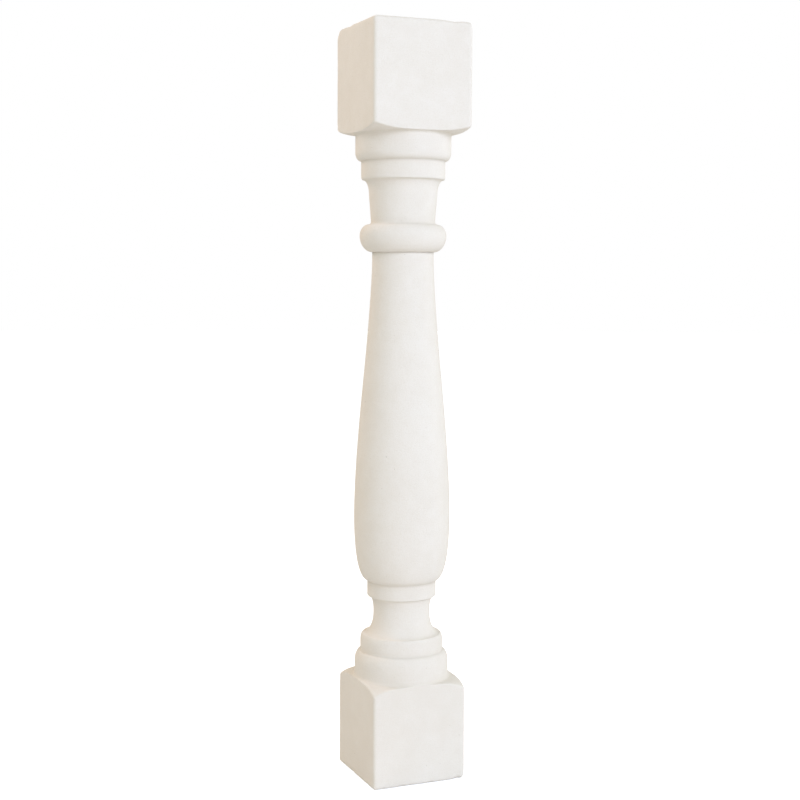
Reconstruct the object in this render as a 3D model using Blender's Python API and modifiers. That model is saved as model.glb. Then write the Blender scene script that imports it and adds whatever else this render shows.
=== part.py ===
"""Cast concrete baluster: a turned shaft between a square cap block and a square base block.

The whole baluster is one casting. Its form is the one a turner cuts from a square blank: a
turned outline, and where that outline is wider than the blank the flat sides of the blank show.
Metres, +Z up, origin at the centre of the underside, the flat sides square to X and Y.
"""
from math import acos, cos, degrees, pi, radians, sin

import bmesh
import bpy

# Square blank
TOTAL_HEIGHT = 0.756
BASE_SIDE = 0.100
CAP_SIDE = 0.104
ARRIS_RADIUS = 0.0035
ARRIS_SEGMENTS = 3

# Blocks: heights to the middle of each side, where the turned shoulder starts
BASE_HEIGHT = 0.1015
CAP_HEIGHT = 0.106
BASE_SHOULDER_RADIUS = 0.025
CAP_SHOULDER_RADIUS = 0.044
BASE_SHOULDER_COVE = 0.004
CAP_SHOULDER_COVE = 0.003
BLANK_CLEARANCE = 0.004

# Stepped bands next to each block
WIDE_BAND_RADIUS = 0.048
NARROW_BAND_RADIUS = 0.0422
LOWER_WIDE_BAND_HEIGHT = 0.0265
UPPER_WIDE_BAND_HEIGHT = 0.027
LOWER_NARROW_BAND_HEIGHT = 0.0175
UPPER_NARROW_BAND_HEIGHT = 0.0185
LOWER_OVOLO_HEIGHT = 0.0115
UPPER_OVOLO_HEIGHT = 0.008
LOWER_BAND_NOSE = (0.0027, 0.0075)
UPPER_BAND_NOSE = (0.0012, 0.0035)

# Lower neck between the bands and the collar
WAIST_RADIUS = 0.0288
LOWER_COVE_HEIGHT = 0.0215
COLLAR_COVE_HEIGHT = 0.016
NECK_LENGTH = 0.0385
COVE_LIP = 0.0005

# Collar under the vase
COLLAR_RADIUS = 0.0352
COLLAR_HEIGHT = 0.0162
COLLAR_EDGE = 0.0012

# Vase
BELLY_RADIUS = 0.0488
BELLY_RISE = 0.0655
VASE_TOP_RADIUS = 0.031
VASE_FOOT_SPREAD = 0.0097
VASE_FOOT_LIFT = 0.0017
BELLY_FULLNESS_BELOW = 0.0355
BELLY_FULLNESS_ABOVE = 0.083
VASE_NECK_LENGTH = 0.072

# Ring over the vase
RING_RADIUS = 0.0436
RING_UPPER_NOSE = (0.0094, 0.0113)
RING_LOWER_NOSE = (0.0128, 0.0165)
RING_COVE = 0.0025

# Upper neck between the ring and the bands
UPPER_NECK_LOW_RADIUS = 0.0322
UPPER_NECK_HIGH_RADIUS = 0.0344
UPPER_NECK_LENGTH = 0.044
UPPER_COVE_HEIGHT = 0.014

# Facets
TURN_STEPS = 44
BLANK_OVERRUN = 0.01

# Heights that follow from the sizes above
LOWER_NARROW_BAND_FOOT = BASE_HEIGHT + LOWER_WIDE_BAND_HEIGHT
LOWER_NARROW_BAND_TOP = LOWER_NARROW_BAND_FOOT + LOWER_NARROW_BAND_HEIGHT
COLLAR_FOOT = LOWER_NARROW_BAND_TOP + NECK_LENGTH
COLLAR_TOP = COLLAR_FOOT + COLLAR_HEIGHT
BELLY_LEVEL = COLLAR_TOP + BELLY_RISE
CAP_FOOT = TOTAL_HEIGHT - CAP_HEIGHT
UPPER_NARROW_BAND_TOP = CAP_FOOT - UPPER_WIDE_BAND_HEIGHT
UPPER_NARROW_BAND_FOOT = UPPER_NARROW_BAND_TOP - UPPER_NARROW_BAND_HEIGHT
RING_TOP = UPPER_NARROW_BAND_FOOT - UPPER_NECK_LENGTH
RING_FOOT = RING_TOP - RING_UPPER_NOSE[1] - RING_LOWER_NOSE[1]


def clear_scene():
    for item in list(bpy.data.objects):
        bpy.data.objects.remove(item, do_unlink=True)


def elliptic_arc(centre, half_width, half_height, start, end, steps):
    """Points (radius, height) on an ellipse, from one angle to another in degrees."""
    points = []
    for step in range(steps + 1):
        angle = radians(start + (end - start) * step / steps)
        points.append((centre[0] + half_width * cos(angle), centre[1] + half_height * sin(angle)))
    return points


def smooth_curve(start, start_handle, end_handle, end, steps):
    """Points (radius, height) on a cubic curve that leaves and arrives along its handles."""
    points = []
    for step in range(steps + 1):
        t = step / steps
        weights = ((1 - t) ** 3, 3 * t * (1 - t) ** 2, 3 * t * t * (1 - t), t ** 3)
        corners = (start, start_handle, end_handle, end)
        points.append(tuple(sum(w * c[axis] for w, c in zip(weights, corners)) for axis in (0, 1)))
    return points


def turning_reach():
    """Radius that lies clear of the blank's corners, where the turned outline runs free."""
    return max(BASE_SIDE, CAP_SIDE) / 2 ** 0.5 + BLANK_CLEARANCE


def shoulder_angle(shoulder_radius, shoulder_cove):
    """Angle in degrees on a shoulder's arc at which it has passed the blank's corners."""
    spread = turning_reach() - WIDE_BAND_RADIUS - shoulder_cove
    return degrees(acos(min(1.0, spread / shoulder_radius)))


def cap_outline():
    """The turned underside of the cap block and the cove that it springs from."""
    foot = WIDE_BAND_RADIUS + CAP_SHOULDER_COVE
    arc_centre = (foot, CAP_FOOT + CAP_SHOULDER_RADIUS)
    cove_centre = (foot, CAP_FOOT - CAP_SHOULDER_COVE)
    end = -shoulder_angle(CAP_SHOULDER_RADIUS, CAP_SHOULDER_COVE)
    points = [(turning_reach(), TOTAL_HEIGHT + BLANK_OVERRUN)]
    points += elliptic_arc(arc_centre, CAP_SHOULDER_RADIUS, CAP_SHOULDER_RADIUS, end, -90, 5)
    points += elliptic_arc(cove_centre, CAP_SHOULDER_COVE, CAP_SHOULDER_COVE, 90, 180, 3)[1:]
    return points


def upper_bands_outline():
    """Wide band with its ovolo, then the narrow band with its rounded lower edge."""
    ovolo_centre = (NARROW_BAND_RADIUS, UPPER_NARROW_BAND_TOP + UPPER_OVOLO_HEIGHT)
    ovolo_width = WIDE_BAND_RADIUS - NARROW_BAND_RADIUS
    nose_width, nose_height = UPPER_BAND_NOSE
    nose_centre = (NARROW_BAND_RADIUS - nose_width, UPPER_NARROW_BAND_FOOT + nose_height)
    points = elliptic_arc(ovolo_centre, ovolo_width, UPPER_OVOLO_HEIGHT, 0, -90, 5)
    points += elliptic_arc(nose_centre, nose_width, nose_height, 0, -90, 3)
    return points


def upper_neck_outline():
    """Cove under the bands, then the neck that narrows down to the ring."""
    cove_width = NARROW_BAND_RADIUS - UPPER_BAND_NOSE[0] - COVE_LIP - UPPER_NECK_HIGH_RADIUS
    cove_centre = (UPPER_NECK_HIGH_RADIUS + cove_width, UPPER_NARROW_BAND_FOOT - UPPER_COVE_HEIGHT)
    ring_cove_centre = (UPPER_NECK_LOW_RADIUS + RING_COVE, RING_TOP + RING_COVE)
    points = elliptic_arc(cove_centre, cove_width, UPPER_COVE_HEIGHT, 90, 180, 6)
    points += elliptic_arc(ring_cove_centre, RING_COVE, RING_COVE, 180, 270, 3)
    return points


def ring_outline():
    """Round ring, fuller above than below."""
    upper_width, upper_height = RING_UPPER_NOSE
    lower_width, lower_height = RING_LOWER_NOSE
    widest = RING_TOP - upper_height
    points = elliptic_arc((RING_RADIUS - upper_width, widest), upper_width, upper_height, 90, 0, 6)
    points += elliptic_arc((RING_RADIUS - lower_width, widest), lower_width, lower_height, 0, -90, 6)[1:]
    return points


def vase_outline():
    """Long vase: slender at the ring, fullest low down, drawn in quickly at the collar."""
    top = (VASE_TOP_RADIUS, RING_FOOT)
    top_handle = (VASE_TOP_RADIUS, RING_FOOT - VASE_NECK_LENGTH)
    belly_handle = (BELLY_RADIUS, BELLY_LEVEL + BELLY_FULLNESS_ABOVE)
    belly = (BELLY_RADIUS, BELLY_LEVEL)
    under_handle = (BELLY_RADIUS, BELLY_LEVEL - BELLY_FULLNESS_BELOW)
    foot_handle = (COLLAR_RADIUS + VASE_FOOT_SPREAD, COLLAR_TOP + VASE_FOOT_LIFT)
    foot = (COLLAR_RADIUS, COLLAR_TOP)
    points = smooth_curve(top, top_handle, belly_handle, belly, 14)
    points += smooth_curve(belly, under_handle, foot_handle, foot, 10)[1:]
    return points


def collar_outline():
    """Plain collar with softened edges."""
    lower_centre = (COLLAR_RADIUS - COLLAR_EDGE, COLLAR_FOOT + COLLAR_EDGE)
    return elliptic_arc(lower_centre, COLLAR_EDGE, COLLAR_EDGE, 0, -90, 2)


def lower_neck_outline():
    """Two coves that meet at the waist."""
    upper_width = COLLAR_RADIUS - COLLAR_EDGE - COVE_LIP - WAIST_RADIUS
    upper_centre = (WAIST_RADIUS + upper_width, COLLAR_FOOT - COLLAR_COVE_HEIGHT)
    lower_width = NARROW_BAND_RADIUS - LOWER_BAND_NOSE[0] - COVE_LIP - WAIST_RADIUS
    lower_centre = (WAIST_RADIUS + lower_width, LOWER_NARROW_BAND_TOP + LOWER_COVE_HEIGHT)
    points = elliptic_arc(upper_centre, upper_width, COLLAR_COVE_HEIGHT, 90, 180, 6)
    points += elliptic_arc(lower_centre, lower_width, LOWER_COVE_HEIGHT, 180, 270, 8)
    return points


def lower_bands_outline():
    """Narrow band with its rounded upper edge, then the wide band under its ovolo."""
    nose_width, nose_height = LOWER_BAND_NOSE
    nose_centre = (NARROW_BAND_RADIUS - nose_width, LOWER_NARROW_BAND_TOP - nose_height)
    ovolo_centre = (NARROW_BAND_RADIUS, LOWER_NARROW_BAND_FOOT - LOWER_OVOLO_HEIGHT)
    ovolo_width = WIDE_BAND_RADIUS - NARROW_BAND_RADIUS
    points = elliptic_arc(nose_centre, nose_width, nose_height, 90, 0, 4)
    points += elliptic_arc(ovolo_centre, ovolo_width, LOWER_OVOLO_HEIGHT, 90, 0, 6)
    return points


def base_outline():
    """The cove above the base block and the block's turned shoulder."""
    foot = WIDE_BAND_RADIUS + BASE_SHOULDER_COVE
    cove_centre = (foot, BASE_HEIGHT + BASE_SHOULDER_COVE)
    arc_centre = (foot, BASE_HEIGHT - BASE_SHOULDER_RADIUS)
    end = shoulder_angle(BASE_SHOULDER_RADIUS, BASE_SHOULDER_COVE)
    points = elliptic_arc(cove_centre, BASE_SHOULDER_COVE, BASE_SHOULDER_COVE, 180, 270, 3)
    points += elliptic_arc(arc_centre, BASE_SHOULDER_RADIUS, BASE_SHOULDER_RADIUS, 90, end, 6)[1:]
    points.append((turning_reach(), -BLANK_OVERRUN))
    return points


def turned_outline():
    """The whole turned outline from above the cap block to below the base block."""
    points = [(0.0, TOTAL_HEIGHT + BLANK_OVERRUN)]
    points += cap_outline()
    points += upper_bands_outline()
    points += upper_neck_outline()
    points += ring_outline()
    points += vase_outline()
    points += collar_outline()
    points += lower_neck_outline()
    points += lower_bands_outline()
    points += base_outline()
    points.append((0.0, -BLANK_OVERRUN))
    return points


def make_collection(name):
    collection = bpy.data.collections.new(name)
    bpy.context.scene.collection.children.link(collection)
    return collection


def make_concrete():
    material = bpy.data.materials.new("white_concrete")
    material.use_nodes = True
    shader = material.node_tree.nodes["Principled BSDF"]
    shader.inputs["Base Color"].default_value = (0.80, 0.77, 0.72, 1.0)
    shader.inputs["Roughness"].default_value = 0.85
    shader.inputs["Metallic"].default_value = 0.0
    return material


def make_square_blank(collection):
    """The square blank: base side below, cap side above, every outer edge rounded."""
    mesh = bpy.data.meshes.new("square_blank")
    shape = bmesh.new()
    bmesh.ops.create_cube(shape, size=1.0)
    for vertex in shape.verts:
        side = CAP_SIDE if vertex.co.z > 0 else BASE_SIDE
        vertex.co.x *= side
        vertex.co.y *= side
        vertex.co.z = TOTAL_HEIGHT if vertex.co.z > 0 else 0.0
    cap_end = (CAP_FOOT - CAP_SHOULDER_COVE, CAP_SIDE)
    base_end = (BASE_HEIGHT + BASE_SHOULDER_COVE, BASE_SIDE)
    for level, side in (cap_end, base_end):
        cut = bmesh.ops.bisect_plane(
            shape, geom=shape.verts[:] + shape.edges[:] + shape.faces[:],
            plane_co=(0, 0, level), plane_no=(0, 0, 1), dist=1e-6,
        )
        for vertex in (item for item in cut["geom_cut"] if isinstance(item, bmesh.types.BMVert)):
            vertex.co.x = side / 2 if vertex.co.x > 0 else -side / 2
            vertex.co.y = side / 2 if vertex.co.y > 0 else -side / 2
    shape.to_mesh(mesh)
    shape.free()
    blank = bpy.data.objects.new("square_blank", mesh)
    collection.objects.link(blank)
    blank.hide_render = True
    blank.display_type = "WIRE"
    rounding = blank.modifiers.new("arrises", "BEVEL")
    rounding.width = ARRIS_RADIUS
    rounding.segments = ARRIS_SEGMENTS
    rounding.limit_method = "ANGLE"
    rounding.angle_limit = radians(30)
    return blank


def make_baluster(collection, blank, material):
    """The turned outline spun about Z, kept only where the square blank reaches."""
    outline = [(radius, 0.0, height) for radius, height in turned_outline()]
    edges = [(index, index + 1) for index in range(len(outline) - 1)]
    mesh = bpy.data.meshes.new("baluster")
    mesh.from_pydata(outline, edges, [])
    mesh.materials.append(material)
    baluster = bpy.data.objects.new("baluster", mesh)
    collection.objects.link(baluster)

    turning = baluster.modifiers.new("turning", "SCREW")
    turning.axis = "Z"
    turning.angle = 2 * pi
    turning.steps = TURN_STEPS
    turning.render_steps = TURN_STEPS
    turning.use_merge_vertices = True
    turning.merge_threshold = 0.00001
    turning.use_smooth_shade = True

    squaring = baluster.modifiers.new("square sides", "BOOLEAN")
    squaring.operation = "INTERSECT"
    squaring.solver = "EXACT"
    squaring.object = blank
    return baluster


def main():
    clear_scene()
    parts = make_collection("concrete_baluster")
    cutters = make_collection("cutters")
    blank = make_square_blank(cutters)
    make_baluster(parts, blank, make_concrete())


main()
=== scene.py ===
"""Looks of the cast concrete baluster: fine casting, white concrete, soft studio and camera."""
from math import acos, atan2, cos, degrees, hypot, pi, radians, sin, sqrt

import bmesh
import bpy
from mathutils import Matrix, Vector, noise


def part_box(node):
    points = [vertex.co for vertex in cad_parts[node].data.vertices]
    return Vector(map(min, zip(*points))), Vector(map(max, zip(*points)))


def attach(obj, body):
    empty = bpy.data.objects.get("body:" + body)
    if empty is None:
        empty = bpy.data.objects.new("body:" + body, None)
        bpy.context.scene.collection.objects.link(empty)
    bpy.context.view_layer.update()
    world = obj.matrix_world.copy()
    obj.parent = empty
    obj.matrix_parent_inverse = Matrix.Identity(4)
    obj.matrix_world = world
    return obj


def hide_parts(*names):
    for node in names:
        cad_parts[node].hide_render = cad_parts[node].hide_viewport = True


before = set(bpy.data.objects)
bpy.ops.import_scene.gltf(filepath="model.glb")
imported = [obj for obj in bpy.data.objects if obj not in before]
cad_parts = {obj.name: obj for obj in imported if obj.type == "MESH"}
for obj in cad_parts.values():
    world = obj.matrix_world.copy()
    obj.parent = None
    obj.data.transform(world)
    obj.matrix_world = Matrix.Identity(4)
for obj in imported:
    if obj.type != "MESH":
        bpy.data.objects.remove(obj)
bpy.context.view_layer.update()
LOW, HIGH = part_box("baluster")

# Square blank, from the frame and the sizes that the frame doesn't give
TOTAL_HEIGHT = HIGH.z - LOW.z
CAP_SIDE = HIGH.x - LOW.x
BASE_SIDE = 0.100
ARRIS_RADIUS = 0.0035

# Blocks
BASE_HEIGHT = 0.1015
CAP_HEIGHT = 0.106
BASE_SHOULDER_RADIUS = 0.025
CAP_SHOULDER_RADIUS = 0.044
BASE_SHOULDER_COVE = 0.004
CAP_SHOULDER_COVE = 0.003
BLANK_REACH = 0.078

# Stepped bands next to each block
WIDE_BAND_RADIUS = 0.048
NARROW_BAND_RADIUS = 0.0422
LOWER_WIDE_BAND_HEIGHT = 0.0265
UPPER_WIDE_BAND_HEIGHT = 0.027
LOWER_NARROW_BAND_HEIGHT = 0.0175
UPPER_NARROW_BAND_HEIGHT = 0.0185
LOWER_OVOLO_HEIGHT = 0.0115
UPPER_OVOLO_HEIGHT = 0.008
LOWER_BAND_NOSE = (0.0027, 0.0075)
UPPER_BAND_NOSE = (0.0012, 0.0035)

# Lower neck and collar
WAIST_RADIUS = 0.0288
LOWER_COVE_HEIGHT = 0.0215
COLLAR_COVE_HEIGHT = 0.016
NECK_LENGTH = 0.0385
COVE_LIP = 0.0005
COLLAR_RADIUS = 0.0352
COLLAR_HEIGHT = 0.0162
COLLAR_EDGE = 0.0012

# Vase
BELLY_RADIUS = 0.0488
BELLY_RISE = 0.0655
VASE_TOP_RADIUS = 0.031
VASE_FOOT_SPREAD = 0.0097
VASE_FOOT_LIFT = 0.0017
BELLY_FULLNESS_BELOW = 0.0355
BELLY_FULLNESS_ABOVE = 0.083
VASE_NECK_LENGTH = 0.072

# Ring and upper neck
RING_RADIUS = 0.0436
RING_UPPER_NOSE = (0.0094, 0.0113)
RING_LOWER_NOSE = (0.0128, 0.0165)
RING_COVE = 0.0025
UPPER_NECK_LOW_RADIUS = 0.0322
UPPER_NECK_HIGH_RADIUS = 0.0344
UPPER_NECK_LENGTH = 0.044
UPPER_COVE_HEIGHT = 0.014

# Heights that follow
LOWER_NARROW_BAND_FOOT = BASE_HEIGHT + LOWER_WIDE_BAND_HEIGHT
LOWER_NARROW_BAND_TOP = LOWER_NARROW_BAND_FOOT + LOWER_NARROW_BAND_HEIGHT
COLLAR_FOOT = LOWER_NARROW_BAND_TOP + NECK_LENGTH
COLLAR_TOP = COLLAR_FOOT + COLLAR_HEIGHT
BELLY_LEVEL = COLLAR_TOP + BELLY_RISE
CAP_FOOT = TOTAL_HEIGHT - CAP_HEIGHT
UPPER_NARROW_BAND_TOP = CAP_FOOT - UPPER_WIDE_BAND_HEIGHT
UPPER_NARROW_BAND_FOOT = UPPER_NARROW_BAND_TOP - UPPER_NARROW_BAND_HEIGHT
RING_TOP = UPPER_NARROW_BAND_FOOT - UPPER_NECK_LENGTH
RING_FOOT = RING_TOP - RING_UPPER_NOSE[1] - RING_LOWER_NOSE[1]

# Fineness of the casting's mesh
COLUMNS = 216
ARRIS_CROWDING = 0.5
FINE_ROW = 0.0012
COARSE_ROW = 0.0032
FACE_RINGS = 14

# How the sharp edges between shoulders and block sides are rounded
SHOULDER_REACH = 0.025
SIDE_GAP = 0.0004
EDGE_GAPS = (-0.0025, 0.006)
SIDE_SMOOTHINGS = 24
EDGE_SMOOTHINGS = 5

# Marks of casting and handling: how deep the waves are and how many to a metre
SURFACE_WAVE = 0.00012
SURFACE_WAVE_SCALE = 24
EDGE_WAVE = 0.00022
EDGE_WAVE_SCALES = (48, 160)
EDGE_REACH = 0.007
NICK_GRAIN_SCALE = 420

# Place, reach and depth of each nick and worn corner
NICKS = (
    ((-0.0195, -0.0500, 0.0), 0.0048, 0.0012),
    ((-0.0100, -0.0500, 0.0), 0.0040, 0.0007),
    ((0.0120, -0.0500, 0.0), 0.0045, 0.0012),
    ((0.0420, -0.0500, 0.0), 0.0065, 0.0018),
    ((0.0495, -0.0495, 0.0), 0.0060, 0.0012),
    ((-0.0500, 0.0100, 0.0), 0.0045, 0.0008),
    ((-0.0500, -0.0290, 0.0), 0.0038, 0.0007),
    ((0.0330, -0.0520, 0.756), 0.0150, 0.0010),
    ((0.0500, -0.0520, 0.756), 0.0100, 0.0010),
    ((-0.0520, 0.0200, 0.756), 0.0120, 0.0009),
    ((-0.0520, 0.0520, 0.756), 0.0105, 0.0027),
    ((0.0520, 0.0180, 0.756), 0.0070, 0.0010),
    ((0.0060, 0.0520, 0.756), 0.0060, 0.0008),
    ((0.0500, 0.0260, 0.0), 0.0060, 0.0013),
    ((-0.0180, 0.0500, 0.0), 0.0050, 0.0010),
    ((0.0480, 0.0480, 0.052), 0.0050, 0.0007),
    ((0.0505, 0.0505, 0.703), 0.0060, 0.0008),
)

# How sharp a bend the material takes for an outer edge or for a recess
ARRIS_BEND = 0.03
RECESS_BEND = 0.01
BEND_RANGE = 0.09
BEND_SPREADS = 3

# Colours of the concrete; the recess colour is painted shade, the rubbed edge colour is partly wear and
# partly painted highlight
DULL_CEMENT = (0.785, 0.752, 0.698, 1.0)
PALE_CEMENT = (0.815, 0.788, 0.742, 1.0)
SAND = (0.71, 0.66, 0.58, 1.0)
# Painted shade: a darker colour laid into coves, creases and corners
RECESS_PAINTED_SHADE = (0.72, 0.67, 0.59, 1.0)
# Partly wear, partly painted highlight: outer edges made lighter as if catching the light
RUBBED_EDGE_AND_HIGHLIGHT = (0.84, 0.82, 0.78, 1.0)
PORE_SHADE = (0.45, 0.41, 0.36, 1.0)

# Studio
FLOOR_RADIUS = 12.0
FLOOR_WHITE = (0.85, 0.85, 0.85, 1.0)
FLOOR_LIFT = (0.9, 0.93, 1.0, 1.0)
FLOOR_LIFT_STRENGTH = 0.75
ROOM_LIGHT = (0.505, 0.495, 0.413, 1.0)

# Camera, as the photograph was taken
LENS_PIXELS = 1459.5
FRAME_PIXELS = 800
SENSOR_WIDTH = 36.0
CAMERA_TURN = 22.82
CAMERA_DISTANCE = 1.473
CAMERA_SIDESTEP = -0.0023
CAMERA_HEIGHT = 0.5096
CAMERA_PITCH = -4.875
CAMERA_ROLL = -0.24


def arc(centre, half_width, half_height, start, end, spacing=FINE_ROW):
    """Points (radius, height) on an ellipse, from one angle to another in degrees."""
    length = abs(radians(end - start)) * (half_width + half_height) / 2
    steps = max(3, round(length / spacing))
    points = []
    for step in range(steps + 1):
        angle = radians(start + (end - start) * step / steps)
        points.append((centre[0] + half_width * cos(angle), centre[1] + half_height * sin(angle)))
    return points


def curve(start, start_handle, end_handle, end, steps):
    """Points (radius, height) on a cubic curve that leaves and arrives along its handles."""
    points = []
    for step in range(steps + 1):
        t = step / steps
        weights = ((1 - t) ** 3, 3 * t * (1 - t) ** 2, 3 * t * t * (1 - t), t ** 3)
        corners = (start, start_handle, end_handle, end)
        points.append(tuple(sum(w * c[axis] for w, c in zip(weights, corners)) for axis in (0, 1)))
    return points


def with_rows_between(points, spacing):
    """The same outline with extra points on every stretch longer than the spacing."""
    filled = [points[0]]
    for start, end in zip(points, points[1:]):
        pieces = max(1, round(hypot(end[0] - start[0], end[1] - start[1]) / spacing))
        for piece in range(1, pieces + 1):
            share = piece / pieces
            filled.append(tuple(a + (b - a) * share for a, b in zip(start, end)))
    return filled


def end_face(level, towards):
    """Rings from the middle of a flat end to its outer edge; towards is 1 for the top, -1 below."""
    rim = BLANK_REACH - ARRIS_RADIUS
    rings = [(rim * ring / FACE_RINGS, level) for ring in range(FACE_RINGS)]
    centre = (rim, level - towards * ARRIS_RADIUS)
    return rings + arc(centre, ARRIS_RADIUS, ARRIS_RADIUS, towards * 90, 0, FINE_ROW / 1.5)


def shoulder_angle(shoulder_radius, shoulder_cove):
    """Degrees at which a shoulder's arc reaches the outside of the blank."""
    spread = BLANK_REACH - WIDE_BAND_RADIUS - shoulder_cove
    return degrees(acos(min(1.0, spread / shoulder_radius)))


def blocks_and_bands_above():
    foot = WIDE_BAND_RADIUS + CAP_SHOULDER_COVE
    ovolo_width = WIDE_BAND_RADIUS - NARROW_BAND_RADIUS
    nose_width, nose_height = UPPER_BAND_NOSE
    points = end_face(TOTAL_HEIGHT, 1)
    points += arc((foot, CAP_FOOT + CAP_SHOULDER_RADIUS), CAP_SHOULDER_RADIUS, CAP_SHOULDER_RADIUS,
                  -shoulder_angle(CAP_SHOULDER_RADIUS, CAP_SHOULDER_COVE), -90)
    points += arc((foot, CAP_FOOT - CAP_SHOULDER_COVE), CAP_SHOULDER_COVE, CAP_SHOULDER_COVE, 90, 180)[1:]
    points += arc((NARROW_BAND_RADIUS, UPPER_NARROW_BAND_TOP + UPPER_OVOLO_HEIGHT),
                  ovolo_width, UPPER_OVOLO_HEIGHT, 0, -90)
    points += arc((NARROW_BAND_RADIUS - nose_width, UPPER_NARROW_BAND_FOOT + nose_height),
                  nose_width, nose_height, 0, -90)
    return points


def upper_neck():
    cove_width = NARROW_BAND_RADIUS - UPPER_BAND_NOSE[0] - COVE_LIP - UPPER_NECK_HIGH_RADIUS
    points = arc((UPPER_NECK_HIGH_RADIUS + cove_width, UPPER_NARROW_BAND_FOOT - UPPER_COVE_HEIGHT),
                 cove_width, UPPER_COVE_HEIGHT, 90, 180)
    points += arc((UPPER_NECK_LOW_RADIUS + RING_COVE, RING_TOP + RING_COVE), RING_COVE, RING_COVE, 180, 270)
    return points


def ring():
    upper_width, upper_height = RING_UPPER_NOSE
    lower_width, lower_height = RING_LOWER_NOSE
    widest = RING_TOP - upper_height
    points = arc((RING_RADIUS - upper_width, widest), upper_width, upper_height, 90, 0)
    points += arc((RING_RADIUS - lower_width, widest), lower_width, lower_height, 0, -90)[1:]
    return points


def vase():
    top = (VASE_TOP_RADIUS, RING_FOOT)
    top_handle = (VASE_TOP_RADIUS, RING_FOOT - VASE_NECK_LENGTH)
    belly_handle = (BELLY_RADIUS, BELLY_LEVEL + BELLY_FULLNESS_ABOVE)
    belly = (BELLY_RADIUS, BELLY_LEVEL)
    under_handle = (BELLY_RADIUS, BELLY_LEVEL - BELLY_FULLNESS_BELOW)
    foot_handle = (COLLAR_RADIUS + VASE_FOOT_SPREAD, COLLAR_TOP + VASE_FOOT_LIFT)
    points = curve(top, top_handle, belly_handle, belly, 72)
    points += curve(belly, under_handle, foot_handle, (COLLAR_RADIUS, COLLAR_TOP), 30)[1:]
    return points


def collar_and_lower_neck():
    upper_width = COLLAR_RADIUS - COLLAR_EDGE - COVE_LIP - WAIST_RADIUS
    lower_width = NARROW_BAND_RADIUS - LOWER_BAND_NOSE[0] - COVE_LIP - WAIST_RADIUS
    points = arc((COLLAR_RADIUS - COLLAR_EDGE, COLLAR_FOOT + COLLAR_EDGE), COLLAR_EDGE, COLLAR_EDGE, 0, -90)
    points += arc((WAIST_RADIUS + upper_width, COLLAR_FOOT - COLLAR_COVE_HEIGHT),
                  upper_width, COLLAR_COVE_HEIGHT, 90, 180)
    points += arc((WAIST_RADIUS + lower_width, LOWER_NARROW_BAND_TOP + LOWER_COVE_HEIGHT),
                  lower_width, LOWER_COVE_HEIGHT, 180, 270)
    return points


def bands_and_block_below():
    foot = WIDE_BAND_RADIUS + BASE_SHOULDER_COVE
    nose_width, nose_height = LOWER_BAND_NOSE
    ovolo_width = WIDE_BAND_RADIUS - NARROW_BAND_RADIUS
    points = arc((NARROW_BAND_RADIUS - nose_width, LOWER_NARROW_BAND_TOP - nose_height),
                 nose_width, nose_height, 90, 0)
    points += arc((NARROW_BAND_RADIUS, LOWER_NARROW_BAND_FOOT - LOWER_OVOLO_HEIGHT),
                  ovolo_width, LOWER_OVOLO_HEIGHT, 90, 0)
    points += arc((foot, BASE_HEIGHT + BASE_SHOULDER_COVE), BASE_SHOULDER_COVE, BASE_SHOULDER_COVE, 180, 270)
    points += arc((foot, BASE_HEIGHT - BASE_SHOULDER_RADIUS), BASE_SHOULDER_RADIUS, BASE_SHOULDER_RADIUS,
                  90, shoulder_angle(BASE_SHOULDER_RADIUS, BASE_SHOULDER_COVE))[1:]
    points += end_face(0.0, -1)[::-1]
    return points


def casting_outline():
    """The whole turned outline, from the middle of the top to the middle of the underside."""
    points = blocks_and_bands_above() + upper_neck() + ring() + vase()
    points += collar_and_lower_neck() + bands_and_block_below()
    return with_rows_between(points, COARSE_ROW)


def square_reach(angle, half, arris):
    """Distance from the axis to the side of a square with rounded corners, in one direction."""
    x, y = abs(cos(angle)), abs(sin(angle))
    flat = half / max(x, y)
    if flat * min(x, y) <= half - arris:
        return flat
    corner = half - arris
    along = corner * (x + y)
    return along + sqrt(max(0.0, along * along - (2 * corner * corner - arris * arris)))


def place_on_blank(point):
    """Moves a spun point onto the square blank where that is smaller, and gives the gap between the two."""
    radius = hypot(point.x, point.y)
    if radius < 1e-9:
        return 1.0
    angle = atan2(point.y, point.x)
    angle += ARRIS_CROWDING * sin(4 * angle) / 4
    half = (CAP_SIDE if point.z > TOTAL_HEIGHT / 2 else BASE_SIDE) / 2
    from_end = min(point.z, TOTAL_HEIGHT - point.z)
    gap = 1.0
    if from_end < 1e-7:
        inner = square_reach(angle, half - ARRIS_RADIUS, ARRIS_RADIUS / 8)
        reach = inner * radius / (BLANK_REACH - ARRIS_RADIUS)
    elif from_end < ARRIS_RADIUS:
        inset = BLANK_REACH - radius
        reach = square_reach(angle, half - inset, max(ARRIS_RADIUS - inset, ARRIS_RADIUS / 8))
    else:
        side = square_reach(angle, half, ARRIS_RADIUS)
        reach = min(radius, side)
        gap = radius - side
    point.x = reach * cos(angle)
    point.y = reach * sin(angle)
    return gap


def in_shoulder(height):
    below = BASE_HEIGHT - SHOULDER_REACH < height < BASE_HEIGHT + BASE_SHOULDER_COVE
    above = CAP_FOOT - CAP_SHOULDER_COVE < height < CAP_FOOT + SHOULDER_REACH
    return below or above


def soften_shoulder_edges(shape, gaps):
    """Evens out the rows on the block sides, then rounds the edges where shoulder and side meet."""
    on_side = [v for v, gap in gaps.items() if gap > SIDE_GAP and in_shoulder(v.co.z)]
    for _ in range(SIDE_SMOOTHINGS):
        bmesh.ops.smooth_vert(shape, verts=on_side, factor=0.5, use_axis_z=True)
    inner, outer = EDGE_GAPS
    near_edge = [v for v, gap in gaps.items() if inner < gap < outer and in_shoulder(v.co.z)]
    for _ in range(EDGE_SMOOTHINGS):
        bmesh.ops.smooth_vert(shape, verts=near_edge, factor=0.5,
                              use_axis_x=True, use_axis_y=True, use_axis_z=True)


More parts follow.
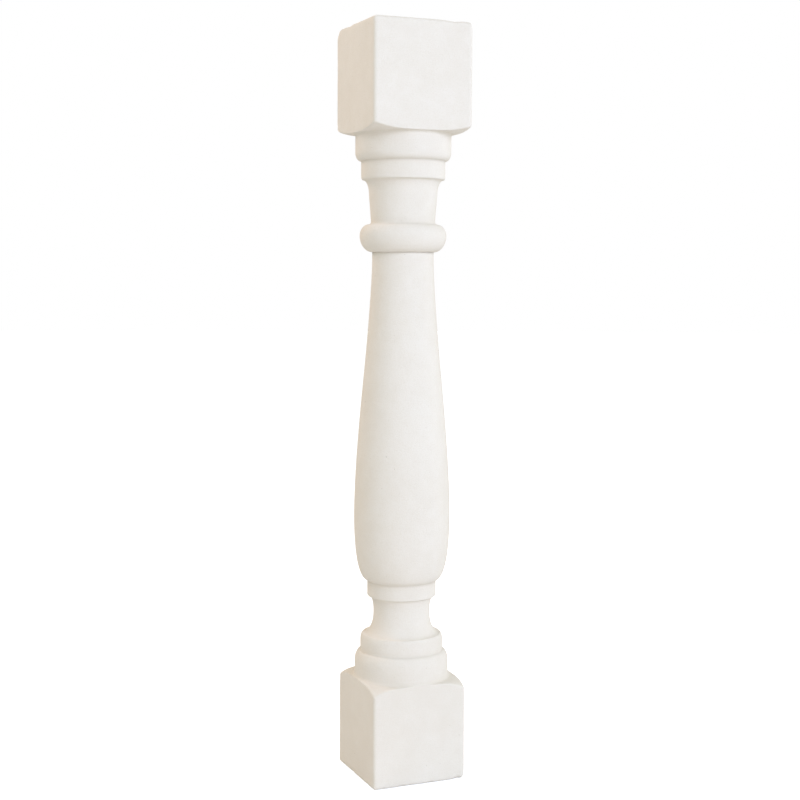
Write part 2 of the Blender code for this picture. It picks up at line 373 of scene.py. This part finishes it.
def nearness(distance, reach):
    """1 at the place itself, falling smoothly to 0 at the reach."""
    share = max(0.0, 1.0 - distance / reach)
    return share * share * (3 - 2 * share)


def block_edge_nearness(point):
    """How near a point is to an outer edge of the cap block or the base block."""
    if BASE_HEIGHT < point.z < CAP_FOOT:
        return 0.0
    half = (CAP_SIDE if point.z > CAP_FOOT else BASE_SIDE) / 2
    to_faces = sorted((half - abs(point.x), half - abs(point.y), point.z, TOTAL_HEIGHT - point.z))
    return nearness(to_faces[1], EDGE_REACH)


def depth_lost(point):
    """How much the casting lost at a point: faint waves, uneven block edges and nicks. Never below 0."""
    edge = block_edge_nearness(point)
    on_end = min(point.z, TOTAL_HEIGHT - point.z) < 1e-6
    lost = 0.0 if on_end else SURFACE_WAVE * max(0.0, 1 + noise.noise(point * SURFACE_WAVE_SCALE))
    long_wave, short_wave = (noise.noise(point * scale) for scale in EDGE_WAVE_SCALES)
    lost += edge * EDGE_WAVE * max(0.0, 0.6 + long_wave + 0.6 * short_wave)
    for place, reach, depth in NICKS:
        away = (point - Vector(place)).length
        if away < reach:
            grain = 1 + 0.35 * noise.noise(point * NICK_GRAIN_SCALE)
            lost += depth * nearness(away, reach) * grain
    return lost


def wear_casting(shape):
    """Moves every vertex inwards by what the casting lost there."""
    shape.normal_update()
    inward = [(vertex, vertex.normal * depth_lost(vertex.co)) for vertex in shape.verts]
    for vertex, step in inward:
        vertex.co -= step


def mark_edges_and_recesses(shape):
    """Point attributes for the material: arris is high on outer edges, recess in coves and corners; recess
    carries painted shade, arris a lighter edge that is partly wear and partly painted highlight.
    """
    shape.normal_update()
    bends = []
    for vertex in shape.verts:
        sides = [(edge.other_vert(vertex).co - vertex.co).normalized() for edge in vertex.link_edges]
        bends.append(sum(vertex.normal.dot(side) for side in sides) / len(sides))
    shape.verts.index_update()
    for _ in range(BEND_SPREADS):
        around = [sum(bends[edge.other_vert(vertex).index] for edge in vertex.link_edges)
                  / len(vertex.link_edges) for vertex in shape.verts]
        bends = [(own + near) / 2 for own, near in zip(bends, around)]
    arris = shape.verts.layers.float.new("arris")
    recess = shape.verts.layers.float.new("recess")
    for vertex, bend in zip(shape.verts, bends):
        vertex[arris] = min(1.0, max(0.0, (-bend - ARRIS_BEND) / BEND_RANGE))
        vertex[recess] = min(1.0, max(0.0, (bend - RECESS_BEND) / BEND_RANGE))


def make_casting():
    """The whole baluster as one closed mesh, turned, fitted to its square blank and worn."""
    shape = bmesh.new()
    outline = [shape.verts.new((radius, 0.0, height)) for radius, height in casting_outline()]
    edges = [shape.edges.new(pair) for pair in zip(outline, outline[1:])]
    bmesh.ops.spin(shape, geom=outline + edges, axis=(0, 0, 1), cent=(0, 0, 0), angle=2 * pi,
                   steps=COLUMNS, use_merge=True, use_duplicate=False)
    bmesh.ops.remove_doubles(shape, verts=shape.verts[:], dist=1e-6)
    gaps = {vertex: place_on_blank(vertex.co) for vertex in shape.verts}
    soften_shoulder_edges(shape, gaps)
    bmesh.ops.recalc_face_normals(shape, faces=shape.faces[:])
    wear_casting(shape)
    mark_edges_and_recesses(shape)
    mesh = bpy.data.meshes.new("baluster_casting")
    shape.to_mesh(mesh)
    shape.free()
    mesh.shade_smooth()
    casting = bpy.data.objects.new("baluster_casting", mesh)
    bpy.context.scene.collection.objects.link(casting)
    return casting


class Nodes:
    """Short ways to add and join nodes in one tree."""

    def __init__(self, tree):
        self.tree = tree

    def add(self, kind, **settings):
        node = self.tree.nodes.new(kind)
        for name, value in settings.items():
            setattr(node, name, value)
        return node

    def feed(self, socket, source):
        """Joins a socket to another node's output, or sets it to a plain value."""
        if isinstance(source, bpy.types.NodeSocket):
            self.tree.links.new(source, socket)
        else:
            socket.default_value = source

    def noise(self, place, scale, detail, roughness):
        node = self.add("ShaderNodeTexNoise")
        self.feed(node.inputs["Vector"], place)
        self.feed(node.inputs["Scale"], scale)
        self.feed(node.inputs["Detail"], detail)
        self.feed(node.inputs["Roughness"], roughness)
        return node.outputs["Fac"]

    def ramp(self, value, low, high, to_low=0.0, to_high=1.0):
        """Maps the range low to high smoothly onto another range."""
        node = self.add("ShaderNodeMapRange", interpolation_type="SMOOTHSTEP")
        for name, source in (("Value", value), ("From Min", low), ("From Max", high),
                             ("To Min", to_low), ("To Max", to_high)):
            self.feed(node.inputs[name], source)
        return node.outputs["Result"]

    def maths(self, operation, first, second):
        node = self.add("ShaderNodeMath", operation=operation)
        self.feed(node.inputs[0], first)
        self.feed(node.inputs[1], second)
        return node.outputs["Value"]

    def blend(self, share, first, second):
        """Mixes two colours."""
        node = self.add("ShaderNodeMix", data_type="RGBA")
        self.feed(node.inputs[0], share)
        self.feed(node.inputs[6], first)
        self.feed(node.inputs[7], second)
        return node.outputs[2]

    def attribute(self, name):
        node = self.add("ShaderNodeAttribute", attribute_name=name)
        return node.outputs["Fac"]


def make_group(name, inputs, outputs):
    """An empty node group with named value sockets; gives its nodes, its inputs and its output node."""
    tree = bpy.data.node_groups.new(name, "ShaderNodeTree")
    tree.interface.new_socket("Place", in_out="INPUT", socket_type="NodeSocketVector")
    for socket, value in inputs:
        tree.interface.new_socket(socket, in_out="INPUT", socket_type="NodeSocketFloat").default_value = value
    for socket in outputs:
        tree.interface.new_socket(socket, in_out="OUTPUT", socket_type="NodeSocketFloat")
    nodes = Nodes(tree)
    return nodes, nodes.add("NodeGroupInput").outputs, nodes.add("NodeGroupOutput").inputs


def cement_mottle():
    """Clouds of slightly unlike tone, as cement dries, with finer blotches in them."""
    scales = (("Cloud Scale", 14.0), ("Blotch Scale", 70.0))
    nodes, given, result = make_group("cement_mottle", scales, ("Tone",))
    clouds = nodes.noise(given["Place"], given["Cloud Scale"], 3.0, 0.55)
    blotches = nodes.noise(given["Place"], given["Blotch Scale"], 4.0, 0.6)
    both = nodes.maths("MULTIPLY_ADD", clouds, 0.6)
    nodes.feed(both.node.inputs[2], nodes.maths("MULTIPLY", blotches, 0.4))
    nodes.feed(result["Tone"], nodes.ramp(both, 0.34, 0.66))
    return nodes.tree


def sand_grain():
    """Fine sand that shows through the rubbed skin."""
    nodes, given, result = make_group("sand_grain", (("Grain Scale", 900.0),), ("Height",))
    coarse = nodes.noise(given["Place"], given["Grain Scale"], 2.0, 0.6)
    fine_scale = nodes.maths("MULTIPLY", given["Grain Scale"], 2.7)
    fine = nodes.noise(given["Place"], fine_scale, 1.0, 0.5)
    nodes.feed(result["Height"], nodes.maths("ADD", coarse, nodes.maths("MULTIPLY", fine, 0.5)))
    return nodes.tree


def air_pores():
    """Small round pores left by air against the mould; Share is how many cells have one."""
    sizes = (("Cell Scale", 95.0), ("Pore Size", 0.08), ("Share", 0.12))
    nodes, given, result = make_group("air_pores", sizes, ("Pore",))
    cells = nodes.add("ShaderNodeTexVoronoi", feature="F1")
    nodes.feed(cells.inputs["Vector"], given["Place"])
    nodes.feed(cells.inputs["Scale"], given["Cell Scale"])
    pick = nodes.add("ShaderNodeSeparateColor")
    nodes.feed(pick.inputs["Color"], cells.outputs["Color"])
    size = nodes.maths("MULTIPLY", given["Pore Size"], nodes.maths("ADD", pick.outputs["Green"], 0.25))
    inside = nodes.ramp(cells.outputs["Distance"], nodes.maths("MULTIPLY", size, 0.45), size, 1.0, 0.0)
    chosen = nodes.maths("LESS_THAN", pick.outputs["Red"], given["Share"])
    nodes.feed(result["Pore"], nodes.maths("MULTIPLY", inside, chosen))
    return nodes.tree


def make_concrete():
    """White cement with pale sand, rubbed smooth: matt, faintly mottled, a few air pores, painted shade in
    recesses, and outer edges lightened partly as wear and partly as a painted highlight.
    """
    material = bpy.data.materials.new("white_concrete")
    material.use_nodes = True
    nodes = Nodes(material.node_tree)
    place = nodes.add("ShaderNodeTexCoord").outputs["Object"]

    def use(group, **values):
        node = nodes.add("ShaderNodeGroup", node_tree=group)
        nodes.feed(node.inputs["Place"], place)
        for name, value in values.items():
            nodes.feed(node.inputs[name.replace("_", " ")], value)
        return node.outputs[0]

    tone = use(cement_mottle(), Cloud_Scale=14.0, Blotch_Scale=70.0)
    grain = use(sand_grain(), Grain_Scale=900.0)
    pores = air_pores()
    pore = nodes.maths("MAXIMUM", use(pores, Cell_Scale=95.0, Pore_Size=0.07, Share=0.14),
                       use(pores, Cell_Scale=280.0, Pore_Size=0.12, Share=0.16))
    arris, recess = nodes.attribute("arris"), nodes.attribute("recess")

    colour = nodes.blend(tone, DULL_CEMENT, PALE_CEMENT)
    colour = nodes.blend(nodes.ramp(grain, 0.72, 0.95, 0.0, 0.3), colour, SAND)
    # Painted shade: coves, creases and corners darkened where shade falls
    colour = nodes.blend(nodes.maths("MULTIPLY", recess, 0.35), colour, RECESS_PAINTED_SHADE)
    # Outer edges lightened: partly rubbed wear, partly a painted highlight
    colour = nodes.blend(nodes.maths("MULTIPLY", arris, 0.4), colour, RUBBED_EDGE_AND_HIGHLIGHT)
    colour = nodes.blend(nodes.maths("MULTIPLY", pore, 0.42), colour, PORE_SHADE)

    roughness = nodes.ramp(tone, 0.0, 1.0, 0.92, 0.84)
    roughness = nodes.maths("SUBTRACT", roughness, nodes.maths("MULTIPLY", arris, 0.06))

    height = nodes.maths("MULTIPLY", grain, 0.35)
    height = nodes.maths("ADD", height, nodes.maths("MULTIPLY", tone, 0.25))
    height = nodes.maths("SUBTRACT", height, pore)
    bump = nodes.add("ShaderNodeBump")
    nodes.feed(bump.inputs["Height"], height)
    nodes.feed(bump.inputs["Strength"], 0.8)
    nodes.feed(bump.inputs["Distance"], 0.0006)

    shader = material.node_tree.nodes["Principled BSDF"]
    nodes.feed(shader.inputs["Base Color"], colour)
    nodes.feed(shader.inputs["Roughness"], roughness)
    nodes.feed(shader.inputs["Normal"], bump.outputs["Normal"])
    shader.inputs["Specular IOR Level"].default_value = 0.35
    return material


def make_floor():
    """A pale floor that the camera sees as white, without it lighting the casting more."""
    bpy.ops.mesh.primitive_circle_add(vertices=96, radius=FLOOR_RADIUS, fill_type="NGON")
    floor = bpy.context.object
    floor.name = "floor"
    material = bpy.data.materials.new("pale_floor")
    material.use_nodes = True
    nodes, links = material.node_tree.nodes, material.node_tree.links
    shader = nodes["Principled BSDF"]
    shader.inputs["Base Color"].default_value = FLOOR_WHITE
    shader.inputs["Roughness"].default_value = 0.9
    shader.inputs["Emission Color"].default_value = FLOOR_LIFT
    seen = nodes.new("ShaderNodeMath")
    seen.operation = "MULTIPLY"
    seen.inputs[1].default_value = FLOOR_LIFT_STRENGTH
    links.new(nodes.new("ShaderNodeLightPath").outputs["Is Camera Ray"], seen.inputs[0])
    links.new(seen.outputs["Value"], shader.inputs["Emission Strength"])
    floor.data.materials.append(material)


def view_directions():
    """Camera's right and forward directions over the floor."""
    turn = radians(CAMERA_TURN)
    return Vector((cos(turn), -sin(turn), 0)), Vector((sin(turn), cos(turn), 0))


def make_camera():
    right, forward = view_directions()
    camera = bpy.data.objects.new("camera", bpy.data.cameras.new("camera"))
    bpy.context.scene.collection.objects.link(camera)
    camera.data.sensor_width = SENSOR_WIDTH
    camera.data.lens = LENS_PIXELS / FRAME_PIXELS * SENSOR_WIDTH
    camera.data.clip_start = 0.05
    camera.data.clip_end = 60.0
    pitch = radians(CAMERA_PITCH)
    look = forward * cos(pitch) + Vector((0, 0, sin(pitch)))
    camera.location = right * CAMERA_SIDESTEP - forward * CAMERA_DISTANCE + Vector((0, 0, CAMERA_HEIGHT))
    camera.rotation_mode = "QUATERNION"
    level = look.to_track_quat("-Z", "Y")
    camera.rotation_quaternion = Matrix.Rotation(radians(CAMERA_ROLL), 3, look).to_quaternion() @ level
    bpy.context.scene.camera = camera


def add_light(name, side, back, height, size, power, colour):
    """An area light placed by the camera's own directions and turned to the middle of the baluster."""
    right, forward = view_directions()
    light = bpy.data.objects.new(name, bpy.data.lights.new(name, "AREA"))
    bpy.context.scene.collection.objects.link(light)
    light.data.shape = "RECTANGLE"
    light.data.size, light.data.size_y = size
    light.data.energy = power
    light.data.color = colour
    light.location = right * side - forward * back + Vector((0, 0, height))
    target = Vector((0, 0, TOTAL_HEIGHT / 2))
    light.rotation_mode = "QUATERNION"
    light.rotation_quaternion = (target - light.location).to_track_quat("-Z", "Y")


def make_world():
    """A dim warm room for the lighting, which the camera sees as white."""
    world = bpy.data.worlds.new("white_studio")
    bpy.context.scene.world = world
    world.use_nodes = True
    nodes, links = world.node_tree.nodes, world.node_tree.links
    room = nodes["Background"]
    room.inputs["Color"].default_value = ROOM_LIGHT
    room.inputs["Strength"].default_value = 1.0
    white = nodes.new("ShaderNodeBackground")
    white.inputs["Color"].default_value = (1.0, 1.0, 1.0, 1.0)
    white.inputs["Strength"].default_value = 1.0
    path = nodes.new("ShaderNodeLightPath")
    mix = nodes.new("ShaderNodeMixShader")
    links.new(path.outputs["Is Camera Ray"], mix.inputs["Fac"])
    links.new(room.outputs["Background"], mix.inputs[1])
    links.new(white.outputs["Background"], mix.inputs[2])
    links.new(mix.outputs["Shader"], nodes["World Output"].inputs["Surface"])


casting = make_casting()
casting.data.materials.append(make_concrete())
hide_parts("baluster")
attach(casting, "root")

make_floor()
make_world()
make_camera()
add_light("key", 2.38, 2.84, 1.88, (1.6, 1.6), 79.5, (0.70, 0.78, 1.0))
add_light("front_fill", 0.34, 3.85, 1.42, (1.6, 1.6), 23.5, (0.98, 0.955, 1.0))
add_light("left_fill", -1.045, 0.184, 1.44, (0.8, 0.8), 3.3, (0.845, 0.87, 1.0))
add_light("left_warm", -1.13, -0.79, 1.54, (0.8, 0.8), 9.8, (1.0, 0.68, 0.51))
add_light("back_soft", 2.6, -1.5, 1.5, (1.6, 1.6), 22.0, (1.0, 0.965, 0.92))
bpy.context.scene.view_settings.view_transform = "Standard"
